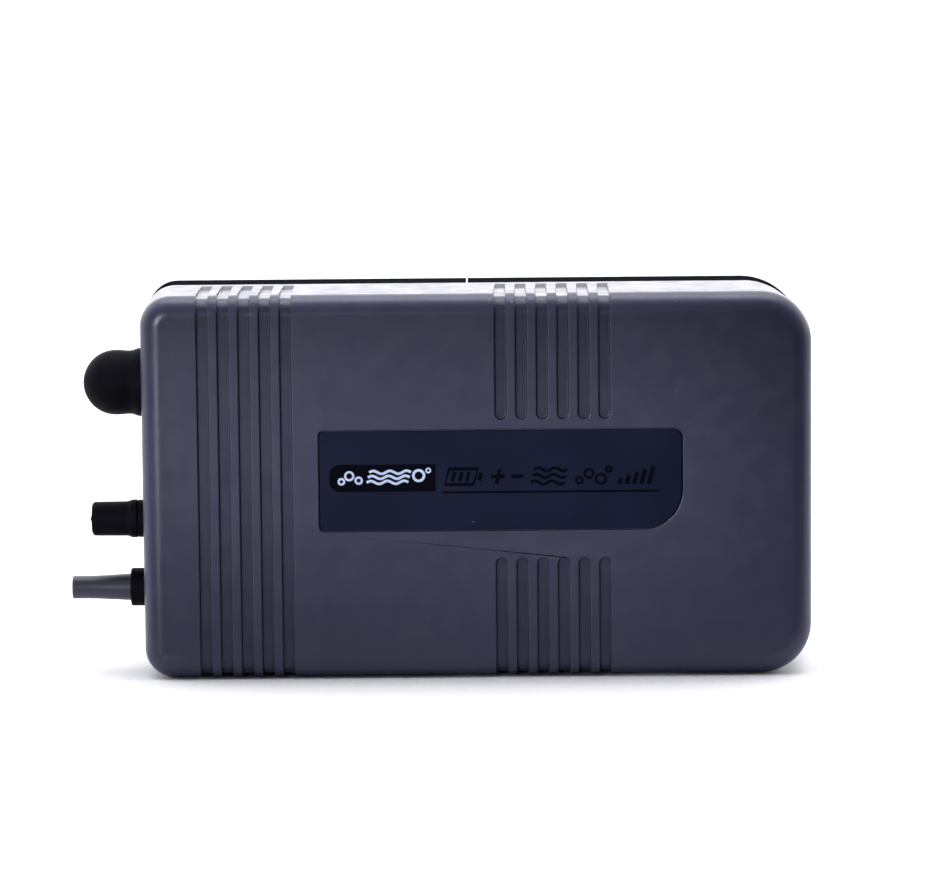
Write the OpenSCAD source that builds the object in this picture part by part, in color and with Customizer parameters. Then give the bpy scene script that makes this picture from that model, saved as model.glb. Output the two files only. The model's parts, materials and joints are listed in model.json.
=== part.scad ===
// Portable two-cell battery air pump, standing on one long edge.
// +X runs along the length (ports at -X), +Y to the back, +Z up.
// The origin is the centre of the base face. All sizes are in millimetres.

/* [Case] */
// Length of the case, left to right
case_w = 132; // [132:1:136]
// Height of the case as it stands
case_h = 76; // [76:1:79]
// Depth of the case, front to back
case_d = 39; // [39:0.5:42]
// Wall thickness of the shells
wall = 2.4; // [2:0.1:2.4]
// Depth of the front shell, front face to seam
shell_depth = 24; // [24:0.5:27]
// Corner radius at the port end
left_r = 6; // [6:0.5:7]
// Corner radius of the front at the battery end
right_r = 10; // [9:0.5:10]
// Corner radius of the back and the seal at the battery end
back_corner_r = 12.5; // [10:0.5:12.5]
// Rounding of the front edge
front_edge_r = 4; // [3:0.5:4.5]
// Rounding of the back edge
back_edge_r = 6; // [5:0.5:6]
// Thickness of the rubber seal at the seam
gasket_t = 1.2; // [0.8:0.1:1.6]

/* [Grooves] */
// Width of each groove
groove_w = 2.2; // [1.6:0.1:2.6]
// Depth of each groove
groove_depth = 0.6; // [0.4:0.05:1]
// Distance between grooves
groove_pitch = 4.08; // [3.6:0.02:4.4]
// Number of full-height grooves
long_grooves = 5; // [1:1:6]
// First full-height groove, from the port end
long_start = 12.3; // [10:0.1:14]
// Number of short grooves above and below the label
short_grooves = 6; // [1:1:7]
// First short groove, right of centre
short_start = 4.75; // [2:0.05:8]
// Height where the upper short grooves end
upper_groove_end = 51.4; // [51:0.2:58]
// Height where the lower short grooves end
lower_groove_end = 23.8; // [14:0.2:26]

/* [Label] */
// Left end of the label recess
label_x0 = -31.1; // [-32:0.1:-20]
// Right end of the label recess
label_x1 = 40.5; // [30:0.5:44]
// Bottom of the label recess
label_z0 = 29.3; // [27:0.1:32]
// Top of the label recess
label_z1 = 49.4; // [44:0.2:50]
// Large corner of the label
label_big_r = 8; // [4:0.5:9]
// Depth of the label recess
label_recess = 0.8; // [0.8:0.05:1]
// Thickness of the label plate
label_t = 0.6; // [0.4:0.1:0.7]

/* [Ports] */
// Depth position of all three ports
port_y = -6; // [-7:0.5:-5]
// Height of the air nozzle
nozzle_z = 16.6; // [15:0.2:18]
// Height of the spare outlet
spare_z = 30.4; // [28:0.2:31]
// Height of the switch
switch_z = 57.8; // [56:0.2:58]
// Radius of the nozzle at its tip
nozzle_tip_r = 2.3; // [2:0.05:2.5]
// Radius of the nozzle at its root
nozzle_root_r = 2.7; // [2.6:0.05:2.9]
// Length of the nozzle outside the case
nozzle_len = 14.9; // [12:0.1:18]
// Radius of the rubber dome
boot_r = 6.45; // [6.2:0.05:7]
// Length of the rubber dome outside the case
boot_len = 12; // [11:0.1:13.5]
// Radius of the rubber cap
cap_r = 3.4; // [3.3:0.05:3.8]

/* [Motion] */
// Throw of the eccentric
throw = 1.25; // [0.6:0.05:1.3]
// Running clearance of pins and bushes
running = 0.05; // [0.02:0.01:0.08]

/* [Power] */
// Radius of a D cell
cell_r = 16.6; // [16.2:0.1:16.8]
// Body length of a D cell without its nub
cell_len = 60; // [59:0.5:60]
// Length of the positive nub
nub_len = 1.5; // [1.2:0.1:1.6]

/* [Hidden] */
$fn = 48;
arc_steps = 10;
eps = 0.01;

// case planes
half_w = case_w / 2;
front_y = -case_d / 2;
back_y = case_d / 2;
seam_y = front_y + shell_depth;
cover_y = seam_y + gasket_t;
cover_depth = back_y - cover_y;
inner_front_y = front_y + wall;
inner_back_y = back_y - wall;
end_wall_x = -half_w + wall;
gasket_inset = 0.15;
label_gap = 0.2;
groove_ramp = 1.6;

// screw posts of the pump side, in X and Z
post_r = 3.2;
post_inset = 5.4;
post_x = [-half_w + post_inset, -13];
post_z = [post_inset, case_h - post_inset];
screw_r = 1.25;
screw_head_r = 2.6;
screw_head_t = 1.8;
counterbore = 2.6;

// hinge of the battery door
hinge_x = -3.5;
hinge_r = 1.7;
hinge_y = back_y - hinge_r;
hinge_gap = 0.3;
hinge_pin_r = 0.8;
cover_end_x = hinge_x - hinge_r - hinge_gap;
door_start_x = hinge_x + hinge_r + hinge_gap;
knuckle_end = 3;
sill_y = 8;
cover_knuckles = [[knuckle_end, 19], [28.2, 47.8], [57, case_h - knuckle_end]];
door_knuckles = [[19.6, 27.6], [48.4, 56.4]];
pin_z0 = 10;
pin_z1 = case_h - 10;

// motor, axis along X
motor_z = 50;
motor_r = 10.05;
motor_flat = 7.55;
can_x0 = -36;
can_x1 = -15;
end_cap_x1 = -11;
shaft_r = 1;
shaft_x0 = -46.5;
shaft_x1 = -9.2;
can_t = 0.8;
boss_len = 1.6;
clamp_x = -25.5;
clamp_w = 6;
clamp_t = 1.4;
clamp_screw_z = [motor_z - 14.5, motor_z + 14.5];

// eccentric and rod
rod_x0 = -45;
rod_x1 = -40.6;
drive_x = (rod_x0 + rod_x1) / 2;
eccentric_r = 4.5;
bush_r = 5.6;
rod_eye_r = 7.6;
eye_z = motor_z + throw;

// pump head stack, heights from the bottom up
head_half = 11;
shelf_z0 = 3;
head_z0 = 5;
plate_z0 = 11;
bowl_z0 = 13;
bowl_z1 = 22;
bowl_floor_z = 17;
rubber_t = 1.2;
ring_z1 = 25.6;
bowl_r = 8.5;
port_r = 1.2;
port_dx = 4;
gallery_z0 = 6.5;
head_port_z = 8.5;
flap_len = 6.5;
root_dx = 8.3;
flap_w = 4.4;
flap_t = 0.5;
flap_gap = 0.06;
flap_pocket = 1.6;
head_screw_r = 1;
head_screw_at = 9.2;
stud_r = 1.5;
stud_thread_r = 1.2;
washer_r = 4;
washer_t = 1.2;
washer_z = bowl_z1 - 0.8;
foot_z = bowl_z1 + rubber_t + 1.8;
rubber_edge_r = head_half - 0.5;

// inner frame
frame_y0 = -15.5;
frame_y1 = -13.5;
bulkhead_x0 = -8.5;
bulkhead_x1 = -6.5;
frame_screw_at = [[-50, 36], [-50, 64], [-18, 62], [-18, 26]];

// air manifold
manifold_x0 = -61.5;
manifold_x1 = drive_x - head_half;
gallery_x = -55.4;
spigot_r = 2.2;
spigot_x = -57;
air_r = 1.2;
gallery_r = 1.2;

// ports
collar_x = -half_w - 3.2;
grommet_r = 3.8;
flange_r = 3.7;
nipple_r = 2.35;

// switch
switch_x1 = -53.4;
bushing_r = 4.8;
bushing_x = -half_w - 4;
plunger_r = 2.6;
plunger_x1 = -63;
spring_x1 = -56;
boot_wall = 1.25;
boot_flare = 0.33;

// batteries and contacts
cell_z = [case_h / 2 - 17.2, case_h / 2 + 17.2];
upper_x0 = 1;
lower_x0 = -1.5;
nub_r = 4.75;
contact_t = 0.5;
bridge_x = 62.5;
spring_wire_r = 0.4;

// hand-laid wire routes
wire_r = 0.7;
red_route = [
    [-6.75, 13, 30], [-10, 13, 30], [-14, 14, 35], [-20, 14.5, 50],
    [-32, 14.5, 64], [-44, 11, 67], [-49, 4, 64.4], [-49.2, -3, 61.3]
];
black_route = [
    [-6.75, 13, 66], [-9.6, 13, 66], [-12, 13, 63], [-13.1, 12.6, 57], [-13.1, 10.2, 54.3]
];
switch_route = [
    [-49.2, -9, 61.3], [-47, -9, 66], [-38, -6, 68], [-24, -2, 68],
    [-14, 6, 66], [-10.3, 12, 60], [-10.6, 13.4, 50], [-13.1, 10.25, 46.2]
];

// ---- helpers ----

// Draw in the front view: x right, y up, z towards the viewer.
module front_view() {
    rotate([90, 0, 0]) children();
}

// A cylinder along X from x0 to x1 at height z and depth y.
module rod_x(x0, x1, r, y = 0, z = 0, r2 = undef) {
    far_r = is_undef(r2) ? r : r2;
    translate([x0, y, z]) rotate([0, 90, 0]) cylinder(h = x1 - x0, r1 = r, r2 = far_r);
}

// A cylinder along Y from y0 to y1.
module rod_y(x, z, y0, y1, r) {
    translate([x, y0, z]) rotate([-90, 0, 0]) cylinder(h = y1 - y0, r = r);
}

// A cylinder along Z from z0 to z1.
module rod_z(x, y, z0, z1, r) {
    translate([x, y, z0]) cylinder(h = z1 - z0, r = r);
}

// A block given by its low and high corners.
module block(low, high) {
    translate(low) cube(high - low);
}

function arc(centre, r, start) =
    [for (i = [0 : arc_steps]) let (a = start + 90 * i / arc_steps) centre + r * [cos(a), sin(a)]];

// Rounded rectangle with its own radius at each corner.
function round_rect(x0, x1, y0, y1, bl, br, tr, tl) = concat(
    arc([x1 - br, y0 + br], br, 270),
    arc([x1 - tr, y1 - tr], tr, 0),
    arc([x0 + tl, y1 - tl], tl, 90),
    arc([x0 + bl, y0 + bl], bl, 180));

function case_outline(inset, corner_r = right_r) = round_rect(
    -half_w + inset, half_w - inset, inset, case_h - inset,
    left_r - inset, corner_r - inset, corner_r - inset, left_r - inset);

function distinct(p) =
    [for (i = [0 : len(p) - 1]) if (norm(p[i] - p[(i + 1) % len(p)]) > eps) p[i]];

// Tray with rounded rim: open side at z = 0, rounded face at z = depth.
module tray(depth, edge_r, inset = 0, corner_r = right_r) {
    er = edge_r - inset;
    x = half_w - inset;
    top = case_h - inset;
    rl = left_r - inset;
    rr = corner_r - inset;
    corners = [
        [-x + rl, top - rl, rl, 90], [x - rr, top - rr, rr, 0],
        [x - rr, inset + rr, rr, 270], [-x + rl, inset + rl, rl, 180]
    ];
    for (i = [0 : 3]) {
        c = corners[i];
        next = corners[(i + 1) % 4];
        run = i % 2 == 0 ? abs(next.x - c.x) : abs(next.y - c.y);
        r = c[2];
        rim = concat([[r, 0]], arc([r - er, depth - er], er, 0));
        translate([c.x, c.y, 0]) rotate([0, 0, c[3]]) {
            rotate_extrude(angle = 90) polygon(distinct(concat([[0, 0]], rim, [[0, depth]])));
            rotate([90, 0, 0]) linear_extrude(run) polygon(distinct(concat([[r - er, 0]], rim)));
        }
    }
    linear_extrude(depth) polygon(distinct([
        [-x + er, top - rl], [-x + rl, top - rl], [-x + rl, top - er],
        [x - rr, top - er], [x - rr, top - rr], [x - er, top - rr],
        [x - er, inset + rr], [x - rr, inset + rr], [x - rr, inset + er],
        [-x + rl, inset + er], [-x + rl, inset + rl], [-x + er, inset + rl]
    ]));
}

// Hollow tray; a larger outer corner only thins the wall there.
module shell(depth, edge_r, corner_r = right_r) {
    difference() {
        tray(depth, edge_r, 0, corner_r);
        translate([0, 0, -1]) tray(depth - wall + 1, edge_r, wall);
    }
}

// Turns a tray drawn upward from its seam so that it faces the back.
module facing_back() {
    front_view() translate([0, 0, -cover_y]) mirror([0, 0, 1]) children();
}

// Back half of the case between two X planes, hollow.
module back_half(x0, x1) {
    intersection() {
        facing_back() shell(cover_depth, back_edge_r, back_corner_r);
        block([x0, cover_y - 1, -1], [x1, back_y + 1, case_h + 1]);
    }
}

// Cutters that round the battery-end corners more towards the seam: outside a leaning cylinder.
module corner_taper() {
    r = back_corner_r;
    start_y = front_y + front_edge_r;
    run = seam_y - start_y;
    lean = atan((r - right_r) * (sqrt(2) - 1) / run);
    reach = 2;
    for (side = [-1, 1]) {
        x = half_w - r;
        z = case_h / 2 + side * (case_h / 2 - r);
        difference() {
            block([x, start_y - reach, min(z, z + side * (r + reach))],
                  [half_w + reach, seam_y + reach, max(z, z + side * (r + reach))]);
            translate([x, seam_y, z]) rotate([0, -side * 45, 0]) rotate([0, 0, lean])
                rotate([-90, 0, 0]) translate([0, 0, -run - 3 * reach])
                    cylinder(h = run + 6 * reach, r = r, $fn = 96);
        }
    }
}

// Cutter for one groove: everything outside the groove floor, one groove wide.
module groove_cut(z0, z1) {
    floor_r = front_edge_r - groove_depth;
    reach = 1;
    end_y = seam_y - 3;
    ramp_y = end_y - groove_ramp;
    far_y = end_y + groove_ramp * reach / groove_depth;
    rotate([90, 0, 90]) translate([0, 0, -groove_w / 2]) linear_extrude(groove_w) difference() {
        intersection() {
            polygon([[front_y - reach, z0], [far_y, z0], [far_y, z1], [front_y - reach, z1]]);
            // the groove runs out on a gentle ramp at its back end
            polygon([
                [front_y - reach, -reach], [far_y, -reach], [ramp_y, groove_depth],
                [ramp_y, case_h - groove_depth], [far_y, case_h + reach],
                [front_y - reach, case_h + reach]]);
        }
        polygon(round_rect(
            front_y + groove_depth, far_y + reach, groove_depth, case_h - groove_depth,
            floor_r, eps, eps, floor_r));
    }
}

module long_groove(i) {
    translate([-half_w + long_start + i * groove_pitch, 0, 0]) groove_cut(-1, case_h + 1);
}

module short_groove(i) {
    half = groove_w / 2;
    x = short_start + i * groove_pitch;
    translate([x, 0, 0]) {
        groove_cut(upper_groove_end + half, case_h + 1);
        groove_cut(-1, lower_groove_end - half);
    }
    for (z = [upper_groove_end + half, lower_groove_end - half])
        rod_y(x, z, front_y - 1, front_y + groove_depth, half);
}

// Label outline, shrunk by a margin.
module label_outline(margin = 0) {
    polygon(round_rect(
        label_x0 + margin, label_x1 - margin, label_z0 + margin, label_z1 - margin,
        1.1, label_big_r - margin, 1.8, 1));
}

function catmull(a, b, c, d, t) =
    0.5 * (2 * b + (c - a) * t + (2 * a - 5 * b + 4 * c - d) * t * t + (3 * b - a - 3 * c + d) * t * t * t);

// Smooth curve through hand-laid points.
function smooth_route(p, steps) = let (n = len(p) - 1) concat(
    [for (i = [0 : n - 1], k = [0 : steps - 1])
        catmull(p[max(i - 1, 0)], p[i], p[i + 1], p[min(i + 2, n)], k / steps)],
    [p[n]]);

function unit(v) = v / norm(v);

// Round tube swept along points, closed at both ends.
module tube(path, r, sides = 8, side_axis = [1, -0.6, 0.8]) {
    n = len(path);
    points = [for (i = [0 : n - 1])
        let (t = unit(path[min(i + 1, n - 1)] - path[max(i - 1, 0)]),
             u = unit(cross(t, side_axis)),
             v = cross(t, u))
        for (k = [0 : sides - 1]) path[i] + r * (cos(360 * k / sides) * u + sin(360 * k / sides) * v)];
    faces = concat(
        [for (i = [0 : n - 2], k = [0 : sides - 1])
            let (a = i * sides + k, b = i * sides + (k + 1) % sides)
            each [[a, a + sides, b], [b, a + sides, b + sides]]],
        [[for (k = [0 : sides - 1]) k]],
        [[for (k = [sides - 1 : -1 : 0]) (n - 1) * sides + k]]);
    polyhedron(points, faces, convexity = 6);
}

// Helical spring along X from x0 to x1 about (y, z), tapering from r0 to r1.
module spring_x(x0, x1, y, z, r0, r1, turns, wire) {
    rings = turns * 12;
    tube([for (i = [0 : rings])
        let (f = i / rings, r = r0 + (r1 - r0) * f, a = 360 * turns * f)
        [x0 + wire + (x1 - x0 - 2 * wire) * f, y + r * cos(a), z + r * sin(a)]], wire, 8, [1, 0, 0]);
}

// Pan-head screw along +Y, head at the +Y end, with a cross recess.
module screw_y(x, z, tip_y, head_y, r, head_r, head_t) {
    difference() {
        union() {
            rod_y(x, z, tip_y, head_y, r);
            rod_y(x, z, head_y, head_y + head_t, head_r);
        }
        for (a = [0, 90])
            translate([x, head_y + head_t, z]) rotate([0, a, 0])
                cube([head_r * 1.3, head_t, head_r * 0.3], center = true);
    }
}

// ---- case ----

module front_shell() color("slategray") difference() {
    union() {
        front_view() translate([0, 0, -seam_y]) shell(shell_depth, front_edge_r);
        for (x = post_x, z = post_z) rod_y(x, z, inner_front_y - eps, seam_y, post_r);
        for (p = frame_screw_at) rod_y(p.x, p.y, inner_front_y - eps, frame_y0, post_r);
        // backing ribs for the bridge contact
        for (z = [case_h / 2 - 12, case_h / 2 + 10])
            block([bridge_x + contact_t, inner_front_y - eps, z], [half_w - wall + eps, seam_y, z + 2]);
    }
    for (x = post_x, z = post_z) rod_y(x, z, seam_y - 12, seam_y + 1, screw_r);
    for (p = frame_screw_at) rod_y(p.x, p.y, front_y + 1.2, frame_y0 + 1, screw_r);
    corner_taper();
    for (i = [0 : long_grooves - 1]) long_groove(i);
    for (i = [0 : short_grooves - 1]) short_groove(i);
    front_view() translate([0, 0, -front_y - label_recess]) linear_extrude(2) label_outline();
    // port holes
    rod_x(-half_w - 1, end_wall_x + 1, nozzle_root_r, port_y, nozzle_z);
    rod_x(-half_w - 1, end_wall_x + 1, nozzle_root_r, port_y, spare_z);
    rod_x(-half_w - 1, end_wall_x + 1, bushing_r, port_y, switch_z);
}

// Knuckles of one hinge leaf, joined to a plate edge on the side given.
module knuckles(at, side) {
    x = [hinge_x, hinge_x + side * (hinge_r + hinge_gap + eps)];
    for (z = at) {
        rod_z(hinge_x, hinge_y, z[0], z[1], hinge_r);
        block([min(x), back_y - wall, z[0]], [max(x), back_y, z[1]]);
    }
}

module back_cover() color("#16161a") difference() {
    union() {
        back_half(-half_w - 1, cover_end_x);
        for (x = post_x, z = post_z) intersection() {
            rod_y(x, z, cover_y, back_y, post_r);
            facing_back() tray(cover_depth, back_edge_r);
        }
        intersection() {
            facing_back() tray(cover_depth, back_edge_r);
            knuckles(cover_knuckles, -1);
        }
        // sill that closes the case under the hinge
        intersection() {
            facing_back() tray(cover_depth, back_edge_r);
            block([cover_end_x - eps, cover_y, -1],
                  [door_start_x - hinge_gap, hinge_y - hinge_r - hinge_gap, case_h + 1]);
        }
    }
    for (x = post_x, z = post_z) {
        rod_y(x, z, cover_y - 1, back_y + 1, screw_r + 0.25);
        rod_y(x, z, back_y - counterbore, back_y + 1, screw_head_r + 0.2);
    }
    rod_z(hinge_x, hinge_y, pin_z0 - hinge_gap, pin_z1 + hinge_gap, hinge_pin_r);
    // room for the battery spring in front of the sill
    block([cover_end_x - 1, cover_y - 1, wall], [door_start_x, sill_y, case_h - wall]);
    // air intake holes
    for (i = [-2 : 2]) rod_y(-36 + i * 3.5, 20, inner_back_y - 1, back_y + 1, 0.8);
}

module battery_door() color("#1a1a1f") difference() {
    union() {
        back_half(door_start_x, half_w + 1);
        knuckles(door_knuckles, 1);
    }
    rod_z(hinge_x, hinge_y, 0, case_h, hinge_pin_r + running);
    // finger notch at the free end
    rod_x(half_w - 1.2, half_w + 1, 7, cover_y, case_h / 2);
}

module case_gasket() color("#0c0c10") front_view() translate([0, 0, -cover_y]) difference() {
    linear_extrude(gasket_t) polygon(case_outline(gasket_inset, back_corner_r));
    translate([0, 0, -1]) linear_extrude(gasket_t + 2) polygon(case_outline(wall));
}

module cover_screws() color("silver") for (x = post_x, z = post_z)
    screw_y(x, z, seam_y - 11, back_y - counterbore, screw_r, screw_head_r, screw_head_t);

module label_plate() color("#1e223a") front_view() translate([0, 0, -front_y - label_recess])
    linear_extrude(label_t) label_outline(label_gap);

module hinge_pin() color("silver") rod_z(hinge_x, hinge_y, pin_z0, pin_z1, hinge_pin_r);

// ---- inner frame ----

module inner_frame() color("#3a3c44") difference() {
    union() {
        // bulkhead between pump side and battery side
        rotate([90, 0, 90]) translate([0, 0, bulkhead_x0]) linear_extrude(bulkhead_x1 - bulkhead_x0)
            polygon(round_rect(
                inner_front_y + 0.2, inner_back_y - 0.2, wall + 0.3, case_h - wall - 0.3, 4, 4, 4, 4));
        // base plate behind the front wall
        block([-53, frame_y0, 9], [bulkhead_x0 + eps, frame_y1, case_h - 9]);
        // motor cradle
        block([can_x0 + 2, frame_y1 - eps, motor_z - 6], [can_x1 - 2, -motor_flat, motor_z + 6]);
        // shelf and side cheeks under the pump head
        block([drive_x - head_half, frame_y0, shelf_z0], [drive_x + head_half, head_half, head_z0]);
        block([drive_x - head_half, frame_y0, shelf_z0], [drive_x + head_half, frame_y1, 9 + eps]);
    }
    for (p = frame_screw_at) rod_y(p.x, p.y, frame_y0 - 1, frame_y1 + 1, screw_r + 0.2);
    for (x = [-1, 1], y = [-1, 1])
        rod_z(drive_x + x * head_screw_at, y * head_screw_at, shelf_z0 - 1, head_z0 + 1, head_screw_r);
    for (z = clamp_screw_z)
        rod_y(clamp_x, z, frame_y0 - 1, frame_y1 + 1, screw_r);
    // wire holes in the bulkhead
    for (p = [red_route[0], black_route[0]])
        rod_x(bulkhead_x0 - 1, bulkhead_x1 + 1, wire_r + 0.3, p.y, p.z);
}

module frame_screws() color("silver") for (p = frame_screw_at)
    screw_y(p.x, p.y, front_y + 1.8, frame_y1, screw_r, 2.2, 1.2);

// ---- motor ----

// Cross section of the can, grown by a margin.
module motor_section(margin = 0) {
    intersection() {
        circle(motor_r + margin);
        square([2 * (motor_flat + margin), 2 * (motor_r + 1)], center = true);
    }
}

// Extrude a section drawn in Y and Z along X.
module along_x(x0, x1) {
    translate([x0, 0, motor_z]) rotate([90, 0, 90]) linear_extrude(x1 - x0) children();
}

module motor_can() color("silver") difference() {
    union() {
        along_x(can_x0, can_x1) motor_section();
        rod_x(can_x0 - boss_len, can_x0 + eps, 3, 0, motor_z);
    }
    along_x(can_x0 + can_t, can_x1 + 1) motor_section(-can_t);
    rod_x(can_x0 - 3, can_x0 + 2, 2, 0, motor_z);
}

module motor_end_cap() color("white") difference() {
    union() {
        along_x(can_x1, end_cap_x1 - 1) motor_section();
        along_x(can_x1 - 2, can_x1) motor_section(-can_t);
        rod_x(end_cap_x1 - 1 - eps, end_cap_x1, 3.6, 0, motor_z);
    }
    along_x(can_x1 - 3, can_x1 + 1.4) circle(6.2);
    rod_x(can_x1, end_cap_x1 + 1, 2, 0, motor_z);
}

module motor_magnets() color("dimgray") difference() {
    intersection() {
        along_x(can_x0 + 2.5, can_x1 - 3.5) motor_section(-can_t);
        for (side = [-1, 1])
            block([can_x0, -7, motor_z + side * 6.8 - 3], [can_x1, 7, motor_z + side * 6.8 + 3]);
    }
    along_x(can_x0, can_x1) circle(7.1);
}

module motor_brushes() color("#b06a30") for (side = [-1, 1])
    block([can_x1 - 1.8, side * 3.3 - 1.6, motor_z - 1.2], [can_x1 + 0.6, side * 3.3 + 1.6, motor_z + 1.2]);

module motor_terminals() color("gold") for (z = [motor_z - 4, motor_z + 4])
    block([can_x1 + 0.8, motor_flat, z - 1], [can_x1 + 1.4 + 1.6, motor_flat + 2, z + 1]);

module motor_bushes() color("#a8843c") for (x = [can_x0 - boss_len, end_cap_x1 - 1 - boss_len])
    difference() {
        rod_x(x, x + 2.4, 2, 0, motor_z);
        rod_x(x - 1, x + 4, shaft_r + running, 0, motor_z);
    }

module motor_shaft() color("silver") rod_x(shaft_x0, shaft_x1, shaft_r, 0, motor_z);

// Three-pole laminated rotor.
module motor_armature() color("gray") difference() {
    along_x(can_x0 + 3.5, can_x1 - 6.5) {
        circle(2.6);
        for (a = [90, 210, 330]) {
            rotate(a) translate([0, -0.9]) square([5.6, 1.8]);
            intersection() {
                difference() {
                    circle(6.6);
                    circle(5.4);
                }
                rotate(a) translate([4, -5]) square([3, 10]);
            }
        }
    }
    rod_x(can_x0, can_x1, shaft_r, 0, motor_z);
}

module motor_windings() color("#b5651d") for (a = [90, 210, 330])
    translate([0, 0, motor_z]) rotate([a, 0, 0]) difference() {
        block([can_x0 + 2.7, 2.9, -2], [can_x1 - 5.7, 4.4, 2]);
        block([can_x0 + 3.5, 2, -0.9], [can_x1 - 6.5, 5, 0.9]);
    }

module commutator() color("#c07840") difference() {
    rod_x(can_x1 - 4.5, can_x1 + 1, 1.65, 0, motor_z);
    rod_x(can_x1 - 6, can_x1 + 2, shaft_r, 0, motor_z);
}

module motor_clamp() color("gray") difference() {
    along_x(clamp_x - clamp_w / 2, clamp_x + clamp_w / 2) {
        intersection() {
            circle(motor_r + clamp_t);
            translate([-3, -12]) square([12, 24]);
        }
        for (s = [-1, 1]) {
            translate([frame_y1, s * (motor_r + 0.75) - 0.65]) square([-frame_y1, 1.3]);
            translate([frame_y1, s * (motor_r + 4.45) - 3.2]) square([clamp_t, 6.4]);
        }
    }
    along_x(clamp_x - clamp_w, clamp_x + clamp_w) motor_section(running);
    for (z = clamp_screw_z) rod_y(clamp_x, z, frame_y1 - 1, frame_y1 + 3, screw_r + 0.2);
}

module clamp_screws() color("silver") for (z = clamp_screw_z)
    screw_y(clamp_x, z, frame_y0, frame_y1 + clamp_t, screw_r, 2.1, 1.2);

// ---- drive ----

module eccentric() color("#d8c8a0") difference() {
    union() {
        rod_x(rod_x0, rod_x1, eccentric_r, 0, eye_z);
        // counterweight on the far side of the throw
        intersection() {
            rod_x(rod_x1, rod_x1 + 2.4, 7, 0, motor_z);
            block([rod_x1, -8, motor_z - 8], [rod_x1 + 3, 8, motor_z + 2]);
        }
    }
    rod_x(rod_x0 - 1, rod_x1 + 4, shaft_r, 0, motor_z);
}

module rod_bush() color("#a8843c") difference() {
    rod_x(rod_x0 + 0.2, rod_x1 - 0.2, bush_r, 0, eye_z);
    rod_x(rod_x0 - 1, rod_x1 + 1, eccentric_r + running, 0, eye_z);
}

module connecting_rod() color("ivory") {
    difference() {
        union() {
            rod_x(rod_x0 + 0.2, rod_x1 - 0.2, rod_eye_r, 0, eye_z);
            block([rod_x0 + 0.2, -2.5, foot_z + 1], [rod_x1 - 0.2, 2.5, eye_z - bush_r]);
            rod_z(drive_x, 0, foot_z, foot_z + 1.5, washer_r);
        }
        rod_x(rod_x0 - 1, rod_x1 + 1, bush_r, 0, eye_z);
        rod_z(drive_x, 0, foot_z - 1, foot_z + 8, stud_thread_r);
    }
}

module rod_stud() color("silver") {
    rod_z(drive_x, 0, washer_z - washer_t, washer_z, washer_r);
    rod_z(drive_x, 0, washer_z, foot_z, stud_r);
    rod_z(drive_x, 0, foot_z, foot_z + 7, stud_thread_r);
}

module diaphragm() color("#202024") translate([drive_x, 0, 0]) rotate_extrude() polygon([
    [stud_r, washer_z], [washer_r, washer_z], [washer_r + 1, bowl_z1],
    [rubber_edge_r, bowl_z1], [rubber_edge_r, bowl_z1 + rubber_t], [washer_r + 2, bowl_z1 + rubber_t],
    [washer_r, foot_z], [stud_r, foot_z]
]);

// ---- pump head ----

// Square block of the head between two heights, drilled for its four screws.
module head_block(z0, z1, hole_r) {
    difference() {
        block([drive_x - head_half, -head_half, z0], [drive_x + head_half, head_half, z1]);
        for (x = [-1, 1], y = [-1, 1])
            rod_z(drive_x + x * head_screw_at, y * head_screw_at, z0 - 1, z1 + 1, hole_r);
    }
}

module diaphragm_ring() color("#55585f") difference() {
    head_block(bowl_z1 + rubber_t, ring_z1, head_screw_r + 0.15);
    rod_z(drive_x, 0, bowl_z1, ring_z1 + 1, bowl_r);
}

module pump_head() color("#6c7078") difference() {
    union() {
        head_block(bowl_z0, bowl_z1, head_screw_r + 0.15);
        // rim that locates the diaphragm
        difference() {
            head_block(bowl_z1 - eps, bowl_z1 + rubber_t, head_screw_r + 0.15);
            rod_z(drive_x, 0, bowl_z1 - 1, bowl_z1 + 3, rubber_edge_r);
        }
    }
    rod_z(drive_x, 0, bowl_floor_z, bowl_z1 + 1, bowl_r);
    for (s = [-1, 1]) rod_z(drive_x + s * port_dx, 0, bowl_z0 - 1, bowl_floor_z + 1, port_r);
    // pocket of the inlet flap
    block([drive_x + 1, -3, bowl_z0 - 1], [drive_x + 9, 3, bowl_z0 + flap_pocket]);
}

module valve_plate() color("#c8c8c0") difference() {
    head_block(plate_z0, bowl_z0, head_screw_r + 0.15);
    for (s = [-1, 1]) rod_z(drive_x + s * port_dx, 0, plate_z0 - 1, bowl_z0 + 1, port_r);
}

// Thin flap with a rounded root at root_dx from the drive, lying above z.
module flap(side, z) {
    x = [drive_x + side * root_dx, drive_x + side * (root_dx - flap_len)];
    block([min(x), -flap_w / 2, z], [max(x), flap_w / 2, z + flap_t]);
    rod_y(x[0], z + flap_t / 2, -flap_w / 2, flap_w / 2, flap_t / 2);
}

module inlet_flap() color("#303034") flap(1, bowl_z0 + flap_gap);

module outlet_flap() color("#303034") flap(-1, plate_z0 - flap_gap - flap_t);

module head_cover() color("#55585f") difference() {
    head_block(head_z0, plate_z0, head_screw_r + 0.15);
    for (s = [-1, 1]) {
        x = [drive_x + s, drive_x + s * 9];
        block([min(x), -8, gallery_z0], [max(x), 4, plate_z0 + 1]);
    }
    rod_x(drive_x + 8, drive_x + head_half + 1, air_r, port_y, head_port_z);
    rod_x(drive_x + head_half - 1.6, drive_x + head_half + 1, 1.9, port_y, head_port_z);
    rod_x(drive_x - head_half - 1, drive_x - 8, air_r, port_y, head_port_z);
}

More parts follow.
